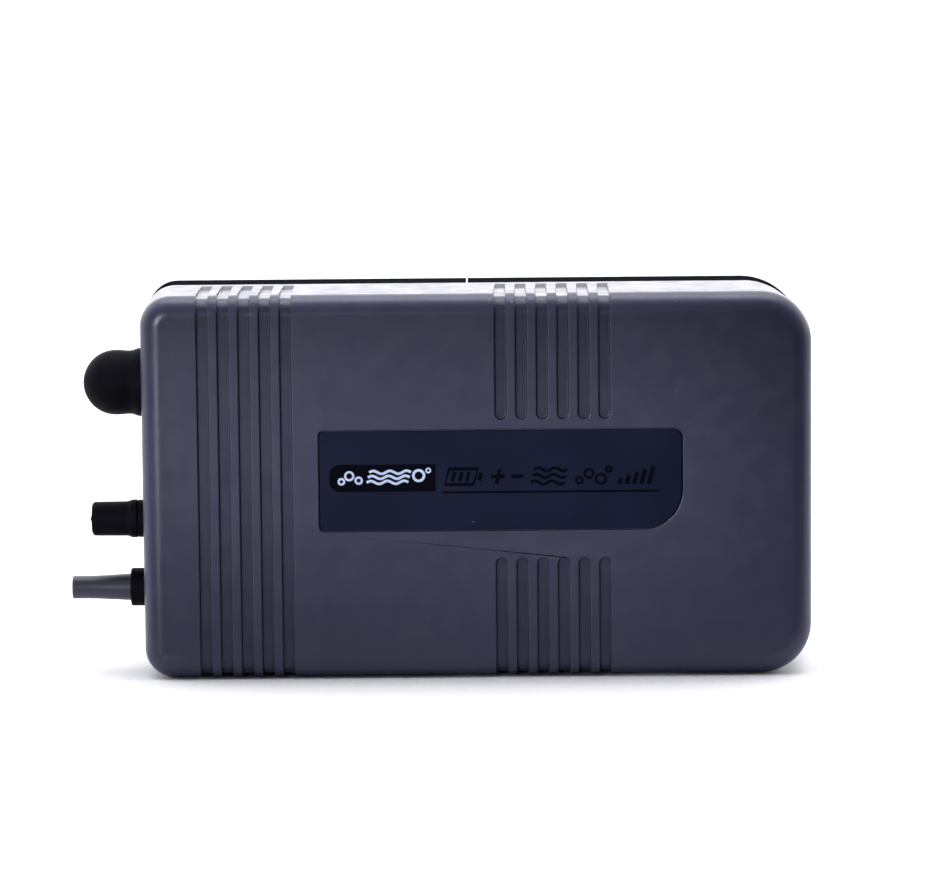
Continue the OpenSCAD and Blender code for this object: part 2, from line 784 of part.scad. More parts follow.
module head_screws() color("silver") for (x = [-1, 1], y = [-1, 1]) {
    sx = drive_x + x * head_screw_at;
    sy = y * head_screw_at;
    difference() {
        union() {
            rod_z(sx, sy, shelf_z0 + 0.4, ring_z1, head_screw_r);
            rod_z(sx, sy, ring_z1, ring_z1 + 1.2, 1.7);
        }
        translate([sx, sy, ring_z1 + 1.2]) cube([2.4, 0.5, 1.2], center = true);
    }
}

module intake_filter() color("whitesmoke")
    rod_x(drive_x + head_half - 1.6, drive_x + head_half + 0.6, 1.9, port_y, head_port_z);

module outlet_manifold() color("#6c7078") difference() {
    block([manifold_x0, port_y - 4, head_z0], [manifold_x1, port_y + 4, spare_z + 4.4]);
    // room for the corner screw post
    rod_y(post_x[0], post_z[0], inner_front_y, seam_y, post_r + 0.3);
    rod_z(gallery_x, port_y, head_port_z, spare_z, gallery_r);
    for (z = [nozzle_z, spare_z]) rod_x(manifold_x0 - 1, gallery_x, spigot_r, port_y, z);
    rod_x(gallery_x, manifold_x1 + 1, air_r, port_y, head_port_z);
}

// ---- ports ----

module outlet_nozzle() color("slategray") difference() {
    tip_x = -half_w - nozzle_len;
    chamfer = 0.4;
    union() {
        rod_x(tip_x, tip_x + chamfer, nozzle_tip_r - chamfer, port_y, nozzle_z, nozzle_tip_r);
        rod_x(tip_x + chamfer, tip_x + 5, nozzle_tip_r, port_y, nozzle_z);
        rod_x(tip_x + 5, collar_x, nozzle_tip_r, port_y, nozzle_z, nozzle_root_r);
        rod_x(collar_x, end_wall_x, nozzle_root_r, port_y, nozzle_z);
        rod_x(end_wall_x, end_wall_x + 1, flange_r, port_y, nozzle_z);
        rod_x(end_wall_x + 1, spigot_x, spigot_r, port_y, nozzle_z);
    }
    rod_x(tip_x - 1, spigot_x + 1, air_r, port_y, nozzle_z);
}

module nozzle_grommet() color("#101014") difference() {
    chamfer = 0.6;
    union() {
        rod_x(collar_x, collar_x + chamfer, grommet_r - chamfer, port_y, nozzle_z, grommet_r);
        rod_x(collar_x + chamfer, -half_w, grommet_r, port_y, nozzle_z);
    }
    rod_x(collar_x - 1, -half_w + 1, nozzle_root_r, port_y, nozzle_z);
}

module spare_nipple() color("slategray") difference() {
    tip_x = -half_w - 8;
    union() {
        rod_x(tip_x, -half_w, nipple_r, port_y, spare_z);
        rod_x(-half_w, end_wall_x, nozzle_root_r, port_y, spare_z);
        rod_x(end_wall_x, end_wall_x + 1, flange_r, port_y, spare_z);
        rod_x(end_wall_x + 1, spigot_x, spigot_r, port_y, spare_z);
    }
    rod_x(tip_x - 1, spigot_x + 1, air_r, port_y, spare_z);
}

module spare_grommet() color("#101014") difference() {
    rod_x(-half_w - 1.5, -half_w, 3.75, port_y, spare_z);
    rod_x(-half_w - 3, -half_w + 1, nipple_r, port_y, spare_z);
}

module outlet_cap() color("#101014") translate([-half_w - 1.6, port_y, spare_z]) rotate([0, -90, 0])
    rotate_extrude() polygon(concat(
        [[nipple_r + 0.1, 0], [cap_r + 0.4, 0], [cap_r + 0.3, 1], [cap_r, 1.8], [cap_r, 8.2]],
        arc([cap_r - 1, 8.2], 1, 0),
        [[0.4, 9.2], [0.3, 9.5], [0, 9.5], [0, 7.6], [nipple_r + 0.1, 7.6]]));

// ---- switch ----

module switch_body() color("#24242a") difference() {
    union() {
        block([end_wall_x, port_y - 6, switch_z - 6.5], [switch_x1, port_y + 6, switch_z + 6.5]);
        rod_x(bushing_x, end_wall_x + eps, bushing_r, port_y, switch_z);
    }
    rod_x(bushing_x - 1, spring_x1, plunger_r + running, port_y, switch_z);
}

module switch_plunger() color("ivory") {
    tip_x = -half_w - boot_len + boot_wall + 0.45;
    rod_x(tip_x, tip_x + 0.8, plunger_r - 0.8, port_y, switch_z, plunger_r);
    rod_x(tip_x + 0.8, plunger_x1, plunger_r, port_y, switch_z);
}

module switch_spring() color("silver")
    spring_x(plunger_x1 + 0.05, spring_x1 - 0.05, port_y, switch_z, 2, 2, 4, 0.25);

module switch_boot() color("#101014") {
    inner_r = boot_r - boot_wall;
    dome_h = boot_len - boot_r;
    translate([-half_w, port_y, switch_z]) rotate([0, -90, 0]) rotate_extrude() polygon(distinct(concat(
        [[inner_r, 0], [boot_r + boot_flare, 0], [boot_r + boot_flare, 1.2], [boot_r - 0.15, 2.4],
         [boot_r - 0.15, 3.2], [boot_r, 4.2]],
        arc([0, dome_h], boot_r, 0),
        [for (i = [arc_steps : -1 : 0])
            [inner_r * cos(90 * i / arc_steps), dome_h + inner_r * sin(90 * i / arc_steps)]])));
}

module switch_terminals() color("gold") for (s = [-1, 1])
    block([switch_x1, port_y + s * 3 - 1, switch_z + 3],
          [switch_x1 + 3.2, port_y + s * 3 + 1, switch_z + 3.6]);

// ---- batteries and contacts ----

// D cell lying along X with its nub at the +X end, at x0.
module d_cell(x0) {
    rim = 0.6;
    translate([x0, 0, 0]) rotate([0, 90, 0]) rotate_extrude() polygon([
        [0, rim], [cell_r - 2, rim], [cell_r - 1.6, 0], [cell_r - rim, 0], [cell_r, rim],
        [cell_r, cell_len - 1], [cell_r - 0.8, cell_len],
        [nub_r + 2, cell_len], [nub_r + 1.6, cell_len - rim], [nub_r + 0.3, cell_len - rim],
        [nub_r, cell_len], [nub_r, cell_len + nub_len], [0, cell_len + nub_len]
    ]);
}

module battery_upper() color("#3c5a46") translate([0, 0, cell_z[1]]) d_cell(upper_x0);

module battery_lower() color("#3c5a46")
    translate([lower_x0 + cell_len, 0, cell_z[0]]) rotate([0, 0, 180]) d_cell(0);

module negative_spring() color("silver") {
    block([bulkhead_x1, -8, cell_z[1] - 8], [bulkhead_x1 + contact_t, 14.4, cell_z[1] + 12]);
    spring_x(bulkhead_x1 + contact_t - 0.1, upper_x0 + 0.55, 0, cell_z[1], 7, 4, 3, spring_wire_r);
}

module positive_contact() color("silver") {
    block([bulkhead_x1, -6, cell_z[0] - 6], [bulkhead_x1 + contact_t, 14.4, cell_z[0] + 11]);
    rod_x(bulkhead_x1 + contact_t - eps, lower_x0 - nub_len, 4.2, 0, cell_z[0], 3);
}

module bridge_contact() color("silver")
    block([bridge_x, -7, cell_z[0] - 7.6], [bridge_x + contact_t, 6.2, cell_z[1] + 6]);

module bridge_spring() color("silver")
    spring_x(lower_x0 + cell_len - 0.55, bridge_x, 0, cell_z[0], 4, 7, 3, spring_wire_r);

module red_wire() color("red") tube(smooth_route(red_route, 3), wire_r);

module black_wire() color("black") tube(smooth_route(black_route, 3), wire_r);

module switch_wire() color("firebrick") tube(smooth_route(switch_route, 3), wire_r);

front_shell();
back_cover();
battery_door();
case_gasket();
cover_screws();
label_plate();
hinge_pin();
inner_frame();
frame_screws();
motor_clamp();
clamp_screws();
motor_can();
motor_end_cap();
motor_magnets();
motor_brushes();
motor_terminals();
motor_bushes();
motor_shaft();
motor_armature();
motor_windings();
commutator();
eccentric();
rod_bush();
connecting_rod();
rod_stud();
diaphragm();
diaphragm_ring();
pump_head();
valve_plate();
inlet_flap();
outlet_flap();
head_cover();
head_screws();
intake_filter();
outlet_manifold();
outlet_nozzle();
nozzle_grommet();
spare_nipple();
spare_grommet();
outlet_cap();
switch_body();
switch_plunger();
switch_spring();
switch_boot();
switch_terminals();
battery_upper();
battery_lower();
negative_spring();
positive_contact();
bridge_contact();
bridge_spring();
red_wire();
black_wire();
switch_wire();
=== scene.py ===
"""Looks for the battery air pump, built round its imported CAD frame. Units are metres."""
import json
import math

import bmesh
import bpy
from mathutils import Matrix, Vector


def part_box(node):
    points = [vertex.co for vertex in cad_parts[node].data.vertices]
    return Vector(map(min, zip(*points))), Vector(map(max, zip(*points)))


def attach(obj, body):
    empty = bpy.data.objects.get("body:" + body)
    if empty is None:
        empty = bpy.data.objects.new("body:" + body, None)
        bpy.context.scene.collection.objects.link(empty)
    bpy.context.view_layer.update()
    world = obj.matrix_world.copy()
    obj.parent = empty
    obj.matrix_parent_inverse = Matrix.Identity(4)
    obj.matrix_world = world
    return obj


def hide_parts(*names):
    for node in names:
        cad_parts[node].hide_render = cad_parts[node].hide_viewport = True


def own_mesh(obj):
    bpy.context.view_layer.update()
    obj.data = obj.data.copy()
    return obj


MM = 0.001
WELD = 0.003 * MM  # points closer than this are one point
ON_AXIS = 1e-6  # a radius smaller than this, in mm, is a point on the line
SQUARE_ON = 0.9999  # least axis part of the normal of a face taken as flat to an axis
SLIVER = 2e-9  # faces smaller than this, in square metres, take a neighbour's normal
SKIN = 1.4 * MM  # depth of the outer layer whose edges are rounded

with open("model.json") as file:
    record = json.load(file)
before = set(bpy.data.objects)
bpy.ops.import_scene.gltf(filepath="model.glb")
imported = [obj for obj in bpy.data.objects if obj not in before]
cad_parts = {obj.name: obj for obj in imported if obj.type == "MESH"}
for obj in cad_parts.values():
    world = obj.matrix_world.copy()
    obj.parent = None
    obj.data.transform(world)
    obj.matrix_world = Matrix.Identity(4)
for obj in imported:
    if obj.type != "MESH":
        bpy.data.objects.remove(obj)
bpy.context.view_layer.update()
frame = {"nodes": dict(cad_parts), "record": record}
nodes = frame["nodes"]
scene = bpy.context.scene
collection = scene.collection


# ---- materials ----

class Graph:
    """A material and short calls that add nodes to it."""

    def __init__(self, name, base, rough, metallic=0.0):
        self.material = bpy.data.materials.new(name)
        self.material.use_nodes = True
        self.tree = self.material.node_tree
        self.shader = self.tree.nodes["Principled BSDF"]
        self.set(self.shader, "Base Color", (*base, 1))
        self.set(self.shader, "Roughness", rough)
        self.set(self.shader, "Metallic", metallic)
        self.coord = self.add("ShaderNodeTexCoord").outputs["Object"]

    def add(self, kind, **settings):
        n = self.tree.nodes.new(kind)
        for key, value in settings.items():
            setattr(n, key, value)
        return n

    def set(self, n, socket, value):
        if isinstance(value, bpy.types.NodeSocket):
            self.tree.links.new(value, n.inputs[socket])
        else:
            n.inputs[socket].default_value = value

    def noise(self, scale, detail=3.0, rough=0.5, stretch=(1, 1, 1), distortion=0.0):
        """Noise with features of about 1/scale metres, drawn out along each axis by stretch."""
        mapping = self.add("ShaderNodeMapping")
        self.set(mapping, "Vector", self.coord)
        mapping.inputs["Scale"].default_value = tuple(1 / s for s in stretch)
        n = self.add("ShaderNodeTexNoise")
        self.set(n, "Vector", mapping.outputs["Vector"])
        self.set(n, "Scale", scale)
        self.set(n, "Detail", detail)
        self.set(n, "Roughness", rough)
        self.set(n, "Distortion", distortion)
        return n.outputs["Fac"]

    def ramp(self, value, stops):
        """Grey or colour ramp; stops are (position, colour or grey)."""
        n = self.add("ShaderNodeValToRGB")
        self.set(n, "Fac", value)
        ramp = n.color_ramp
        while len(ramp.elements) < len(stops):
            ramp.elements.new(0.5)
        for element, (at, colour) in zip(ramp.elements, stops):
            element.position = at
            grey = not isinstance(colour, tuple)
            element.color = (colour, colour, colour, 1) if grey else (*colour, 1)
        return n.outputs["Color"]

    def span(self, value, low, high, from_low=0.0, from_high=1.0):
        n = self.add("ShaderNodeMapRange")
        self.set(n, "Value", value)
        self.set(n, "From Min", from_low)
        self.set(n, "From Max", from_high)
        self.set(n, "To Min", low)
        self.set(n, "To Max", high)
        return n.outputs["Result"]

    def maths(self, kind, a, b=0.0):
        n = self.add("ShaderNodeMath", operation=kind)
        for i, v in enumerate((a, b)):
            self.set(n, i, v)
        return n.outputs["Value"]

    def mix(self, factor, a, b, blend="MIX"):
        n = self.add("ShaderNodeMix", data_type="RGBA", blend_type=blend)
        self.set(n, "Factor", factor)
        for socket, v in (("A", a), ("B", b)):
            s = [i for i in n.inputs if i.name == socket and i.type == "RGBA"][0]
            if isinstance(v, bpy.types.NodeSocket):
                self.tree.links.new(v, s)
            else:
                s.default_value = (*v, 1)
        return [o for o in n.outputs if o.type == "RGBA"][0]

    def bump(self, height, distance, strength=1.0, under=None):
        n = self.add("ShaderNodeBump")
        self.set(n, "Height", height)
        self.set(n, "Distance", distance)
        self.set(n, "Strength", strength)
        if under is not None:
            self.set(n, "Normal", under)
        return n.outputs["Normal"]

    def edge_wear(self, low=0.52, high=0.6):
        """1 on sharp outer edges, 0 elsewhere."""
        geometry = self.add("ShaderNodeNewGeometry")
        return self.span(geometry.outputs["Pointiness"], 0, 1, low, high)

    def finish(self, base=None, rough=None, normal=None):
        for socket, value in (("Base Color", base), ("Roughness", rough), ("Normal", normal)):
            if value is not None:
                self.set(self.shader, socket, value)
        return self.material


def moulded(
        name, base, rough=0.45, grain=2600, depth=0.00002, fleck=0.08, shine=0.5, lift=0.01):
    """Moulded plastic: fine spark-eroded grain, slight cloudiness, paler edges.
    shine is the specular level, and lift is added to the base colour on worn edges."""
    g = Graph(name, base, rough)
    g.set(g.shader, "Specular IOR Level", shine)
    fine = g.noise(grain, 2, 0.6)
    cloud = g.noise(45, 4, 0.55)
    dark = tuple(c * (1 - fleck) for c in base)
    light = tuple(min(1, c * (1 + fleck)) for c in base)
    tone = g.mix(g.span(cloud, 0, 1, 0.3, 0.7), dark, light)
    pale = tuple(min(1, c * 1.35 + lift) for c in base)
    tone = g.mix(g.maths("MULTIPLY", g.edge_wear(), 0.35), tone, pale)
    return g.finish(tone, g.span(cloud, rough - 0.05, rough + 0.07), g.bump(fine, depth))


def metal(name, base, rough=0.3, stretch=(1, 1, 1), scale=900):
    """Worn bright metal with drawn or turned lines along the stretch."""
    g = Graph(name, base, rough, 1.0)
    lines = g.noise(scale, 4, 0.6, stretch)
    stain = g.noise(120, 4, 0.6)
    tone = g.mix(g.span(stain, 0, 0.6, 0.35, 0.75), base, tuple(c * 0.72 for c in base))
    polish = g.span(lines, rough - 0.1, rough + 0.16, 0.3, 0.7)
    return g.finish(tone, polish, g.bump(lines, 0.00001))


def rubber(name, base=(0.0035, 0.0035, 0.006), rough=0.55, shine=0.025):
    """Soft black rubber with a dusty bloom and a fine satin grain."""
    g = Graph(name, base, rough)
    g.set(g.shader, "Specular IOR Level", shine)
    fine = g.noise(1500, 3, 0.6)
    bloom = g.noise(140, 5, 0.6)
    tone = g.mix(g.span(bloom, 0, 0.5, 0.5, 0.8), base, tuple(c * 1.7 + 0.001 for c in base))
    return g.finish(tone, g.span(bloom, rough - 0.06, rough + 0.1, 0.3, 0.7), g.bump(fine, 0.00002))


def slate_shell():
    """The front shell: blue-grey matte ABS with fine grain, painted shade in its grooves and other
    hollows, and rubbed edges.
    """
    base = (0.036, 0.037, 0.064)
    g = Graph("slate_abs", base, 0.34)
    g.set(g.shader, "Specular IOR Level", 0.3)
    grain = g.noise(3200, 2, 0.6)
    broad = g.noise(22, 3, 0.5)
    mottle = g.noise(260, 4, 0.6)
    tone = g.mix(g.span(broad, 0, 1, 0.3, 0.7), (0.031, 0.032, 0.066), (0.036, 0.037, 0.074))
    tone = g.mix(g.span(mottle, 0, 0.35, 0.45, 0.75), tone, (0.043, 0.043, 0.082))
    # painted shade: ambient occlusion turns the colour towards near black in the grooves and other
    # hollows, where shade falls
    painted_shade_ao = g.add("ShaderNodeAmbientOcclusion", samples=8, only_local=True)
    g.set(painted_shade_ao, "Distance", 2.2 * MM)
    depth = g.span(painted_shade_ao.outputs["AO"], 1, 0, 0.86, 0.98)
    tone = g.mix(g.maths("MULTIPLY", depth, 0.42), tone, (0.006, 0.007, 0.017))
    specks = g.span(g.noise(900, 1, 0.4), 0, 1, 0.81, 0.84)
    tone = g.mix(g.maths("MULTIPLY", specks, 0.3), tone, (0.12, 0.12, 0.18))
    tone = g.mix(g.maths("MULTIPLY", g.edge_wear(0.51, 0.58), 0.3), tone, (0.08, 0.08, 0.14))
    normal = g.bump(grain, 0.000025, 1.0, g.bump(mottle, 0.00002))
    return g.finish(tone, g.span(mottle, 0.3, 0.42, 0.3, 0.7), normal)


def label_ink():
    """Navy printed label: satin lacquer over an even colour."""
    base = (0.006, 0.009, 0.026)
    g = Graph("label_navy", base, 0.34)
    g.set(g.shader, "Specular IOR Level", 0.1)
    cloud = g.noise(60, 3, 0.5)
    fine = g.noise(2200, 2, 0.5)
    specks = g.span(g.noise(700, 1, 0.4), 0, 1, 0.81, 0.84)
    tone = g.mix(
        g.span(cloud, 0, 1, 0.3, 0.7), (0.0045, 0.0075, 0.024), (0.0065, 0.01, 0.031))
    tone = g.mix(g.maths("MULTIPLY", specks, 0.4), tone, (0.16, 0.17, 0.24))
    return g.finish(tone, g.span(cloud, 0.3, 0.4), g.bump(fine, 0.000008))


def felt():
    """Matted pale fibres."""
    g = Graph("intake_felt", (0.8, 0.78, 0.72), 0.95)
    fibre = g.noise(2600, 5, 0.7, (1, 3, 1))
    tone = g.mix(fibre, (0.66, 0.64, 0.58), (0.86, 0.85, 0.8))
    return g.finish(tone, normal=g.bump(fibre, 0.0002))


# where the cells' jackets change colour, in metres: (start, end) of each step
BETWEEN_CELLS = (0.0379, 0.0381)
RIGHT_BAND = (0.0452, 0.0455)
LEFT_BAND = (0.0169, 0.0172)


def battery_jacket():
    """Plain two-tone cell jacket: dark green with a pale band by the positive end.
    The upper cell's positive end is to the right, the lower cell's to the left."""
    g = Graph("cell_jacket", (0.02, 0.06, 0.04), 0.3)
    axis = g.add("ShaderNodeSeparateXYZ")
    g.set(axis, "Vector", g.coord)
    cloud = g.noise(90, 3, 0.5)
    along = axis.outputs["X"]
    upper = g.span(axis.outputs["Z"], 0, 1, *BETWEEN_CELLS)
    right_end = g.maths("MULTIPLY", upper, g.span(along, 0, 1, *RIGHT_BAND))
    left_end = g.maths("MULTIPLY", g.span(upper, 1, 0), g.span(along, 1, 0, *LEFT_BAND))
    band = g.maths("ADD", right_end, left_end)
    tone = g.mix(band, (0.02, 0.075, 0.05), (0.62, 0.62, 0.58))
    tone = g.mix(g.maths("MULTIPLY", cloud, 0.25), tone, (0.01, 0.03, 0.025))
    return g.finish(tone, g.span(cloud, 0.24, 0.38), g.bump(g.noise(1200, 2, 0.5), 0.00001))


MATERIALS = {
    "shell_plastic": slate_shell(),
    "black_plastic": moulded(
        "black_abs", (0.0065, 0.0065, 0.009), rough=0.6, grain=2400, depth=0.00003,
        shine=0.0, lift=0.004),
    "black_rubber": rubber("black_rubber"),
    "label_print": label_ink(),
    "nozzle_plastic": moulded(
        "nozzle_grey", (0.04, 0.041, 0.064), rough=0.4, grain=2000, depth=0.000012,
        shine=0.3),
    "frame_plastic": moulded("frame_dark", (0.035, 0.036, 0.042), rough=0.5),
    "head_plastic": moulded("head_grey", (0.17, 0.175, 0.19), rough=0.42),
    "ivory_plastic": moulded("acetal_ivory", (0.7, 0.66, 0.55), rough=0.36, fleck=0.04),
    "white_plastic": moulded("nylon_white", (0.74, 0.74, 0.7), rough=0.38, fleck=0.04),
    "steel": metal("plated_steel", (0.58, 0.58, 0.6), rough=0.3),
    "magnet": moulded("ferrite", (0.035, 0.034, 0.035), rough=0.6, grain=1500, depth=0.00004),
    "bronze": metal("sintered_bronze", (0.5, 0.33, 0.15), rough=0.42),
    "brass": metal("tinned_brass", (0.7, 0.56, 0.3), rough=0.28),
    "copper": metal(
        "enamelled_copper", (0.62, 0.26, 0.11), rough=0.3, stretch=(1, 1, 12), scale=2500),
    "laminations": metal(
        "stacked_laminations", (0.32, 0.32, 0.34), rough=0.4, stretch=(0.06, 1, 1), scale=700),
    "felt": felt(),
    "battery_jacket": battery_jacket(),
    "red_insulation": moulded("red_pvc", (0.5, 0.02, 0.015), rough=0.35, fleck=0.05),
    "black_insulation": moulded("black_pvc", (0.012, 0.012, 0.013), rough=0.35),
}


def dress(obj, material):
    """Give an object one material."""
    obj.data.materials.clear()
    obj.data.materials.append(material)


for part in frame["record"]["subparts"]:
    dress(nodes[part["node"]], MATERIALS[part["material_slot"]])


# ---- shapes ----

def squared(normal):
    """The axis direction nearest a normal."""
    most = max(range(3), key=lambda i: abs(normal[i]))
    return Vector([math.copysign(1, c) if i == most else 0 for i, c in enumerate(normal)])


def smooth_normals(data, flat_area=2.5e-6, crease=50):
    """Hold flat faces larger than flat_area (m2) flat, and blend the rest up to a crease angle."""
    data.update()
    limit = math.cos(math.radians(crease))
    faces_at = [[] for _ in data.vertices]
    flat = []
    for p in data.polygons:
        p.use_smooth = True
        square_on = max(abs(c) for c in p.normal) > SQUARE_ON
        flat.append(square_on and p.area > flat_area)
        for v in p.vertices:
            faces_at[v].append(p.index)
    normals = [None] * len(data.loops)
    for p in data.polygons:
        for loop, v in zip(p.loop_indices, p.vertices):
            if flat[p.index]:
                normals[loop] = squared(p.normal)
                continue
            near = [data.polygons[i] for i in faces_at[v]]
            if p.area < SLIVER:
                p = max(near, key=lambda q: q.area)
            near = [q for q in near if q.normal.dot(p.normal) > limit]
            held = [q for q in near if flat[q.index]]
            if held:
                normals[loop] = squared(max(held, key=lambda q: q.normal.dot(p.normal)).normal)
            else:
                total = sum((q.normal * q.area for q in near), Vector())
                normals[loop] = (total if total.length else p.normal).normalized()
    data.normals_split_custom_set([n[:] for n in normals])


def new_piece(name, bm, material, body="case"):
    """Turn a bmesh into a visible piece that rides a body."""
    data = bpy.data.meshes.new(name)
    bm.normal_update()
    bm.to_mesh(data)
    bm.free()
    obj = bpy.data.objects.new(name, data)
    collection.objects.link(obj)
    data.materials.append(material)
    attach(obj, body)
    return obj


FLUSH = 0.5  # faces that meet within this angle, in degrees, are one flat face


def refined(node, width, where=None, angle=30, segments=3):
    """A copy of a CAD part, its flat triangulation dropped and its sharp edges rounded.
    Only edges whose middle passes where are rounded. Nothing leaves the part's own box."""
    bm = bmesh.new()
    bm.from_mesh(nodes[node].data)
    bmesh.ops.remove_doubles(bm, verts=bm.verts, dist=WELD)
    flush = math.radians(FLUSH)
    bmesh.ops.dissolve_limit(bm, angle_limit=flush, verts=bm.verts, edges=bm.edges)
    limit = math.radians(angle)
    inner = [e for e in bm.edges if len(e.link_faces) == 2]
    sharp = [e for e in inner if e.calc_face_angle() > limit]
    if where is not None:
        sharp = [e for e in sharp if where((e.verts[0].co + e.verts[1].co) / 2)]
    bmesh.ops.bevel(
        bm, geom=sharp, offset=width, offset_type="OFFSET", segments=segments, profile=0.5,
        affect="EDGES", clamp_overlap=False, miter_outer="ARC", loop_slide=True)
    low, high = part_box(node)
    for v in bm.verts:
        v.co = Vector([min(max(c, a), b) for c, a, b in zip(v.co, low, high)])
    slot = [p for p in frame["record"]["subparts"] if p["node"] == node][0]["material_slot"]
    bodies = frame["record"]["behaviour"]["bodies"]
    body = [b for b, members in bodies.items() if node in members][0]
    obj = new_piece(f"{node}_skin", bm, MATERIALS[slot], body)
    smooth_normals(obj.data)
    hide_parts(node)
    return obj


def lathe(name, profile, origin, material, body="case", steps=112):
    """Turn (distance outward along -X, radius) points, in mm, about a line through the origin."""
    bm = bmesh.new()
    rings = []
    for along, r in profile:
        at = Vector(origin) - Vector((along * MM, 0, 0))
        if r < ON_AXIS:
            rings.append([bm.verts.new(at)])
            continue
        turn = [2 * math.pi * k / steps for k in range(steps)]
        around = [Vector((0, math.cos(t), math.sin(t))) for t in turn]
        rings.append([bm.verts.new(at + spoke * r * MM) for spoke in around])
    for a, b in zip(rings, rings[1:]):
        for k in range(steps):
            j = (k + 1) % steps
            corners = [a[k % len(a)], a[j % len(a)], b[j % len(b)], b[k % len(b)]]
            corners = [c for i, c in enumerate(corners) if c not in corners[:i]]
            if len(corners) > 2:
                bm.faces.new(corners)
    bmesh.ops.recalc_face_normals(bm, faces=bm.faces)
    obj = new_piece(name, bm, material, body)
    smooth_normals(obj.data, flat_area=1.0, crease=48)
    return obj


SHARE = 0.49  # most of a profile's segment that one rounding may use


def eased(points, radii, steps=5):
    """Round each inner point of a profile by its radius."""
    out = [points[0]]
    for i in range(1, len(points) - 1):
        p, q, n = (Vector(points[k]) for k in (i - 1, i, i + 1))
        r = min(radii[i], SHARE * (p - q).length, SHARE * (n - q).length)
        if r <= 0:
            out.append(tuple(q))
            continue
        a = q + (p - q).normalized() * r
        b = q + (n - q).normalized() * r
        for k in range(steps + 1):
            t = k / steps
            out.append(tuple(a * (1 - t) ** 2 + q * 2 * t * (1 - t) + b * t * t))
    out.append(points[-1])
    return out


# ---- case ----

shell_low, shell_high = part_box("front_shell")
plate_low, plate_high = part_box("label_plate")
back_low, back_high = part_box("back_cover")
hinge_low, hinge_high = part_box("hinge_pin")
recess_floor = plate_high.y
RECESS_SLACK = 0.05 * MM  # how near the recess floor an edge counts as on it
BACK_EDGE = 3 * MM  # depth, from the back face, of the layer whose edges are rounded
HINGE_MARGIN = 2.5 * MM  # extra width, at each side of the pin, left unrounded


def at_rim(p):
    """True close to the case's ends, top or bottom."""
    return (
        p.x < shell_low.x + SKIN or p.x > shell_high.x - SKIN
        or p.z < shell_low.z + SKIN or p.z > shell_high.z - SKIN)


def outside_shell(p):
    """True on the outside of the front shell, but not on the floor of the label recess."""
    skin = at_rim(p) or p.y < shell_low.y + SKIN
    return skin and abs(p.y - recess_floor) > RECESS_SLACK


def outside_back(p):
    """True on the outside of the back of the case, away from the hinge."""
    if hinge_low.x - HINGE_MARGIN < p.x < hinge_high.x + HINGE_MARGIN:
        return False
    return at_rim(p) or p.y > back_high.y - BACK_EDGE


refined("front_shell", width=0.26 * MM, where=outside_shell)
refined("back_cover", width=0.3 * MM, where=outside_back)
refined("battery_door", width=0.3 * MM, where=outside_back)
refined("label_plate", width=0.12 * MM)
seal = refined("case_gasket", width=0.2 * MM)
dress(seal, rubber("seal_rubber", (0.004, 0.004, 0.006), rough=0.75, shine=0.0))


# ---- ports and switch: profiles are in mm, measured outward from the end wall ----

def port(node):
    """Where a port's centre line leaves the end wall, and the two corners of its node's box."""
    low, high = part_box(node)
    return Vector((shell_low.x, (low.y + high.y) / 2, (low.z + high.z) / 2)), low, high


def rubber_dome():
    """The switch's boot: a flange, a slight waist and a half-round end, hollow inside."""
    origin, low, high = port("switch_boot")
    flare = (high.z - low.z) / 2 / MM
    lip = 0.33
    r = flare - lip
    length = (shell_low.x - low.x) / MM
    dome = length - r
    wall = 1.25
    flange, neck, waist, barrel = 1.1, 2.2, 3.3, 4.6
    outer = eased(
        [(0, flare), (flange, flare), (neck, r - 0.12), (waist, r - 0.15), (barrel, r), (dome, r)],
        [0, 0.35, 0.7, 0.8, 0.8, 0], 5)
    steps = 22
    quarter = [math.pi / 2 * k / steps for k in range(1, steps + 1)]
    outer += [(dome + r * math.sin(a), r * math.cos(a)) for a in quarter[:-1]]
    outer.append((dome + r, 0))
    inner_r = r - wall
    inner = [(dome + inner_r * math.sin(a), inner_r * math.cos(a)) for a in reversed(quarter[:-1])]
    inner = [(dome + inner_r, 0)] + inner + [(dome, inner_r), (0, inner_r), (0, flare)]
    boot = lathe("switch_dome", outer + inner, origin, MATERIALS["black_rubber"])
    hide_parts("switch_boot")
    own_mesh(boot)


def rubber_cap():
    """The spare outlet's cap: a collar, a plain barrel and a moulding pip at the closed end."""
    origin, low, high = port("outlet_cap")
    collar = (high.z - low.z) / 2 / MM
    start = (shell_low.x - high.x) / MM
    tip = (shell_low.x - low.x) / MM
    lip, bore, end_wall = 0.4, 2.45, 1.9
    r = collar - lip
    thick, barrel = start + 1.2, start + 1.9
    end, pip_root, pip, pip_tip = tip - 0.35, tip - 0.3, 0.5, 0.42
    profile = eased(
        [(start, bore), (start, collar), (thick, collar), (barrel, r + 0.06),
         (end, r), (pip_root, pip), (tip, pip_tip), (tip, 0)],
        [0, 0.3, 0.35, 0.5, 0.9, 0.15, 0.1, 0], 6)
    profile += [(tip - end_wall, 0), (tip - end_wall, bore), (start, bore)]
    cap = lathe("spare_outlet_cap", profile, origin, MATERIALS["black_rubber"], "spare_cap")
    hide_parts("outlet_cap")


